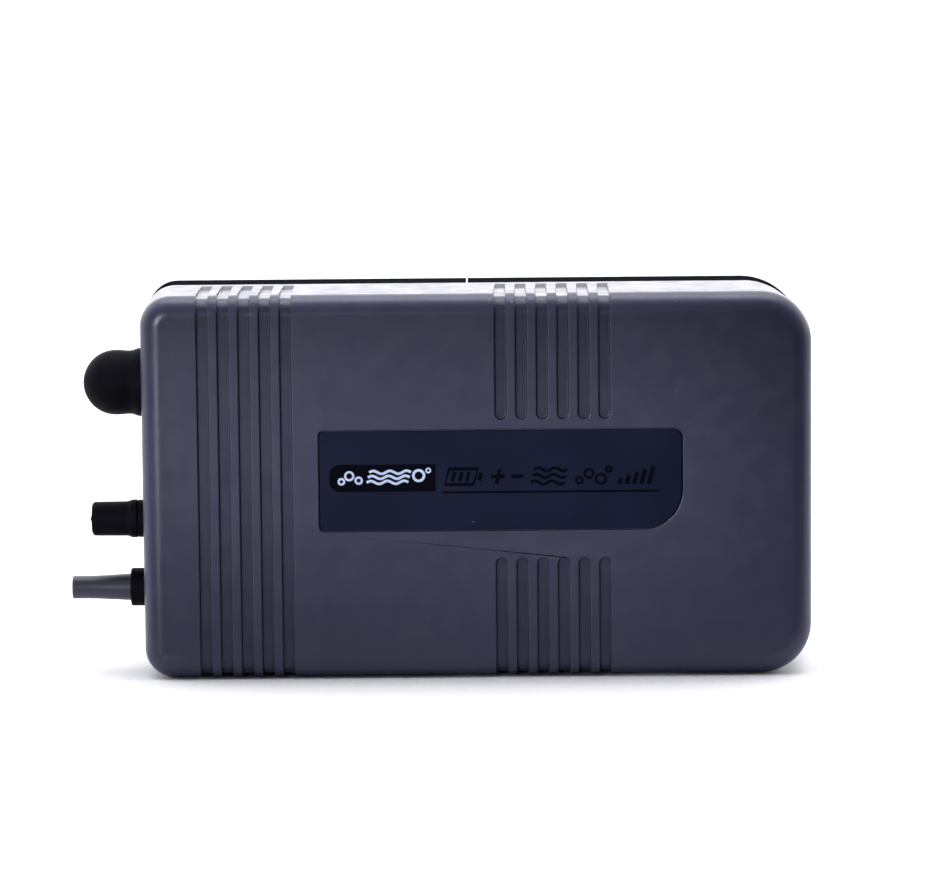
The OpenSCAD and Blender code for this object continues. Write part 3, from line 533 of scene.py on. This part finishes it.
def nozzle():
    """The tapered air nozzle with its inner spigot and flange, and the bush round its root."""
    origin, low, high = port("outlet_nozzle")
    grommet_low, grommet_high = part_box("nozzle_grommet")
    tip = (shell_low.x - low.x) / MM
    inner_end = (shell_low.x - high.x) / MM
    wall_in = -2.4
    flange_in = wall_in - 1
    collar = (shell_low.x - grommet_low.x) / MM
    bore, tip_r, root, spigot, flange = 1.2, 2.3, 2.7, 2.2, 3.7
    straight = 4.6
    profile = eased(
        [(inner_end, bore), (inner_end, spigot), (flange_in, spigot), (flange_in, flange),
         (wall_in, flange), (wall_in, root), (collar, root), (tip - straight, tip_r),
         (tip, tip_r), (tip, bore)],
        [0, 0.1, 0, 0.2, 0, 0, 0.2, 2.0, 0.4, 0.15], 5)
    profile.append((inner_end, bore))
    piece = lathe("air_nozzle", profile, origin, MATERIALS["nozzle_plastic"])
    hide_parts("outlet_nozzle")
    r = (grommet_high.z - grommet_low.z) / 2 / MM
    hole = root + 0.01  # clears the nozzle
    profile = eased([(0, hole), (0, r), (collar, r), (collar, hole)], [0, 0.1, 0.75, 0], 6)
    profile.append((0, hole))
    ring = lathe("nozzle_bush", profile, origin, MATERIALS["black_rubber"])
    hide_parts("nozzle_grommet")


def return_spring():
    """The switch's coil spring as one smooth piece that rides the case; in the pump it shortens as
    the plunger goes in.
    """
    bm = bmesh.new()
    bm.from_mesh(nodes["switch_spring"].data)
    bmesh.ops.remove_doubles(bm, verts=bm.verts, dist=WELD)
    coil = new_piece("return_spring", bm, MATERIALS["steel"])
    smooth_normals(coil.data, flat_area=1.0, crease=60)
    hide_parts("switch_spring")
    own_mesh(coil)


rubber_dome()
rubber_cap()
nozzle()
return_spring()


# ---- label marks ----

LABEL_FACE = plate_low.y
SUNK = 0.02 * MM  # how far the marks reach into the label


def plane_point(bm, x, y, z):
    """A vertex from millimetres in the label's plane and a depth in metres."""
    return bm.verts.new((x * MM, y, z * MM))


def add_prism(bm, outline, depth):
    """Thin solid in the label's plane from an outline of (x, z) in millimetres."""
    y0, y1 = LABEL_FACE + SUNK, LABEL_FACE - depth * MM
    front = [plane_point(bm, x, y1, z) for x, z in outline]
    back = [plane_point(bm, x, y0, z) for x, z in outline]
    bm.faces.new(front)
    bm.faces.new(back[::-1])
    n = len(outline)
    for i in range(n):
        j = (i + 1) % n
        bm.faces.new([front[j], front[i], back[i], back[j]])


def add_line(bm, points, width, depth=0.04, closed=False):
    """Ribbon of even width along points."""
    p = [Vector(q) for q in points]
    n = len(p)
    left, right = [], []
    for i in range(n):
        a = p[i - 1] if closed or i else p[i]
        b = p[(i + 1) % n] if closed or i < n - 1 else p[i]
        along = (b - a).normalized()
        side = Vector((-along.y, along.x)) * width / 2
        left.append(p[i] + side)
        right.append(p[i] - side)
    y0, y1 = LABEL_FACE + SUNK, LABEL_FACE - depth * MM
    rows = []
    for a, b in zip(left, right):
        section = ((a, y1), (b, y1), (b, y0), (a, y0))
        rows.append([plane_point(bm, q.x, y, q.y) for q, y in section])
    pairs = list(zip(rows, rows[1:])) + ([(rows[-1], rows[0])] if closed else [])
    for r, q in pairs:
        for k in range(4):
            m = (k + 1) % 4
            bm.faces.new([r[k], r[m], q[m], q[k]])
    if not closed:
        bm.faces.new(rows[0])
        bm.faces.new(rows[-1][::-1])


def circle(x, z, r, steps=28):
    """Points round a circle."""
    turn = [2 * math.pi * k / steps for k in range(steps)]
    return [(x + r * math.cos(t), z + r * math.sin(t)) for t in turn]


LEAN = 0.26  # sideways shift of a slanted mark for each mm of height


def slanted(points, x, z):
    """Points moved to (x, z) and leaned over."""
    return [(x + u + v * LEAN, z + v) for u, v in points]


def wave(x, z, length, height, turns, steps=30):
    """Points along a sine wave."""
    share = [k / steps for k in range(steps + 1)]
    return [(x + f * length, z + height * math.sin(2 * math.pi * turns * f)) for f in share]


def label_marks():
    """Generic battery, air and water marks where the printed words would be. Sizes in mm."""
    margin = 0.2  # from the label to the edge of its recess
    left, top = plate_low.x / MM - margin, plate_high.z / MM + margin
    dark = bmesh.new()
    pale = bmesh.new()
    # black lozenge, round at its left end
    x0, x1 = left + 2.05, left + 23.0
    z0, z1 = top - 12.15, top - 6.75
    r, small = 2.1, 0.2
    ends = []
    corners = (
        (x0 + r, z0 + r, r, 180), (x1 - small, z0 + small, small, 270),
        (x1 - small, z1 - small, small, 0), (x0 + r, z1 - r, r, 90))
    for cx, cz, size, start in corners:
        turn = [math.radians(start + a) for a in range(0, 91, 15)]
        ends += [(cx + size * math.cos(t), cz + size * math.sin(t)) for t in turn]
    add_prism(dark, ends, 0.03)
    # underline
    ux0, ux1, uz = left + 24.35, left + 67.05, top - 12.4
    add_line(dark, [(ux0, uz), (ux1, uz)], width=0.42)
    # row of slanted marks: battery, plus, minus, waves, bubbles, level bars
    base, tall, w = top - 11.15, 3.7, 0.72
    x = ux0 + 0.4
    cell = [(0, 0.3), (5.6, 0.3), (5.6, tall - 0.3), (0, tall - 0.3)]
    add_line(dark, slanted(cell, x, base), w, closed=True)
    add_line(dark, slanted([(6.5, 1.1), (6.5, tall - 1.1)], x, base), 0.9)
    for u in (1.3, 2.7, 4.1):
        add_line(dark, slanted([(u, 0.9), (u, tall - 0.9)], x, base), 0.7)
    x += 8.7
    add_line(dark, slanted([(0, tall / 2), (2.7, tall / 2)], x, base), w)
    add_line(dark, slanted([(1.35, 0.45), (1.35, tall - 0.45)], x, base), w, 0.05)
    x += 3.9
    add_line(dark, slanted([(0, tall / 2), (2.4, tall / 2)], x, base), w)
    x += 4.2
    for v in (0.55, 1.85, 3.15):
        add_line(dark, wave(x + v * LEAN, base + v, 6.6, 0.34, 2), 0.6)
    x += 8.9
    for u, v, size in ((0.8, 0.95, 0.6), (2.7, 2.3, 0.85), (5.0, 1.2, 0.95), (6.6, 3.1, 0.5)):
        add_line(dark, circle(x + u, base + v, size), 0.5, closed=True)
    x += 8.6
    for k in range(5):
        add_line(dark, slanted([(k * 1.45, 0.15), (k * 1.45, 1.3 + k * 0.58)], x, base), 0.85)
    # pale marks on the lozenge
    px, pz = x0 + 2.2, (z0 + z1) / 2 + 0.1
    for u, v, size in ((0.2, -0.75, 0.55), (1.75, 0.35, 0.8), (3.6, -0.55, 0.62)):
        add_line(pale, circle(px + u, pz + v, size), 0.42, 0.05, closed=True)
    for v in (-0.95, 0.05, 1.05):
        add_line(pale, wave(px + 5.4 + v * LEAN, pz + v, 8.2, 0.3, 2.5), 0.5, 0.05)
    add_line(pale, circle(px + 15.4, pz + 0.35, 1.05), 0.5, 0.05, closed=True)
    add_line(pale, circle(px + 17.3, pz + 1.35, 0.42), 0.28, 0.05, closed=True)
    for bm in (dark, pale):
        bmesh.ops.recalc_face_normals(bm, faces=bm.faces)
    black = moulded("print_black", (0.003, 0.003, 0.006), rough=0.5, fleck=0.1, shine=0, lift=0)
    new_piece("label_marks_dark", dark, black)
    blue = moulded("print_pale", (0.42, 0.5, 0.72), rough=0.4, fleck=0.12)
    new_piece("label_marks_pale", pale, blue)


label_marks()


# ---- set: floor, light and camera ----

def plain_mesh(name, vertices, faces, material):
    """An object from lists of points and faces."""
    data = bpy.data.meshes.new(name)
    data.from_pydata(vertices, [], faces)
    obj = bpy.data.objects.new(name, data)
    collection.objects.link(obj)
    data.materials.append(material)
    return obj


FLOOR_GONE, FLOOR_WHOLE = -0.055, -0.02  # the floor fades out between these, along Y


def backdrop():
    """A pale sheet that fades out a little in front of the pump and runs well behind it."""
    g = Graph("pale_floor", (0.86, 0.86, 0.88), 0.9)
    g.finish(g.mix(g.noise(6, 2, 0.5), (0.84, 0.84, 0.86), (0.88, 0.88, 0.89)))
    axis = g.add("ShaderNodeSeparateXYZ")
    g.set(axis, "Vector", g.coord)
    g.set(g.shader, "Alpha", g.span(axis.outputs["Y"], 0, 1, FLOOR_GONE, FLOOR_WHOLE))
    side, front, back = 1.2, -0.24, 0.8
    corners = [(-side, front, 0), (side, front, 0), (side, back, 0), (-side, back, 0)]
    plain_mesh("floor", corners, [(0, 1, 2, 3)], g.material)


def soft_light(name, place, target, size, power, spread=180, colour=(1, 1, 1)):
    """Rectangular area light aimed at a target: power in watts, spread in degrees."""
    data = bpy.data.lights.new(name, "AREA")
    data.shape = "RECTANGLE"
    data.size, data.size_y = size
    data.energy = power
    data.color = colour
    data.spread = math.radians(spread)
    obj = bpy.data.objects.new(name, data)
    collection.objects.link(obj)
    obj.location = place
    obj.rotation_euler = (Vector(target) - Vector(place)).to_track_quat("-Z", "Y").to_euler()


# strength of the world: behind and low, behind and high, in front, and as the camera sees it
SKY_LOW, SKY_HIGH, SKY_FRONT, SKY_SEEN = 1.05, 2.6, 0.08, 1.1


def sky():
    """Light from behind the pump, brighter above its horizon, and dim in front.
    The camera itself sees plain white."""
    world = bpy.data.worlds.new("studio")
    world.use_nodes = True
    tree = world.node_tree

    def add(kind, **inputs):
        n = tree.nodes.new(kind)
        for name, value in inputs.items():
            socket = n.inputs[name.replace("_", " ")]
            if isinstance(value, bpy.types.NodeSocket):
                tree.links.new(value, socket)
            else:
                socket.default_value = value
        return n

    coord = add("ShaderNodeTexCoord")
    axis = add("ShaderNodeSeparateXYZ", Vector=coord.outputs["Generated"])
    behind = add("ShaderNodeMapRange", Value=axis.outputs["Y"], From_Min=-0.3, From_Max=0.35)
    above = add("ShaderNodeMapRange", Value=axis.outputs["Z"], From_Min=-0.01, From_Max=0.07,
                To_Min=SKY_LOW, To_Max=SKY_HIGH)
    strength = add("ShaderNodeMapRange", Value=behind.outputs["Result"], To_Min=SKY_FRONT,
                   To_Max=above.outputs["Result"])
    seen = add("ShaderNodeLightPath").outputs["Is Camera Ray"]
    shown = add("ShaderNodeMapRange", Value=seen, To_Min=strength.outputs["Result"],
                To_Max=SKY_SEEN)
    background = tree.nodes["Background"]
    background.inputs["Color"].default_value = (1, 1, 1, 1)
    tree.links.new(shown.outputs["Result"], background.inputs["Strength"])
    scene.world = world


def studio():
    """A pool of light on the face, a low window behind and a soft panel overhead."""
    sky()
    soft_light(
        "front_pool", place=(-0.45, -0.95, 0.16), target=(-0.02, -0.02, 0.044),
        size=(0.16, 0.06), power=0.034, spread=5.5)
    soft_light(
        "back_window", place=(0, 1.6, 0.42), target=(0, 0, 0.06),
        size=(2.6, 0.45), power=5.5, colour=(0.93, 0.93, 1))
    soft_light(
        "overhead", place=(0, 0.08, 0.9), target=(0, 0, 0.04),
        size=(0.9, 0.5), power=8.0, colour=(0.88, 0.89, 1))
    scene.view_settings.view_transform = "Standard"


def photo_camera():
    """Long lens at the photograph's viewing angle."""
    low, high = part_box("front_shell")
    left, up = 1.3 * MM, 8.6 * MM
    target = Vector(((low.x + high.x) / 2 - left, low.y, (low.z + high.z) / 2 + up))
    elevation = math.radians(7.7)
    roll = math.radians(-0.5)
    distance = 1.0
    away = Vector((0, -math.cos(elevation), math.sin(elevation)))
    data = bpy.data.cameras.new("camera")
    data.lens = 195.0
    data.clip_start = 0.01
    camera = bpy.data.objects.new("camera", data)
    collection.objects.link(camera)
    aim = (-away).to_track_quat("-Z", "Y").to_matrix().to_4x4()
    turn = aim @ Matrix.Rotation(roll, 4, "Z")
    camera.matrix_world = Matrix.Translation(target + away * distance) @ turn
    scene.camera = camera


backdrop()
studio()
photo_camera()
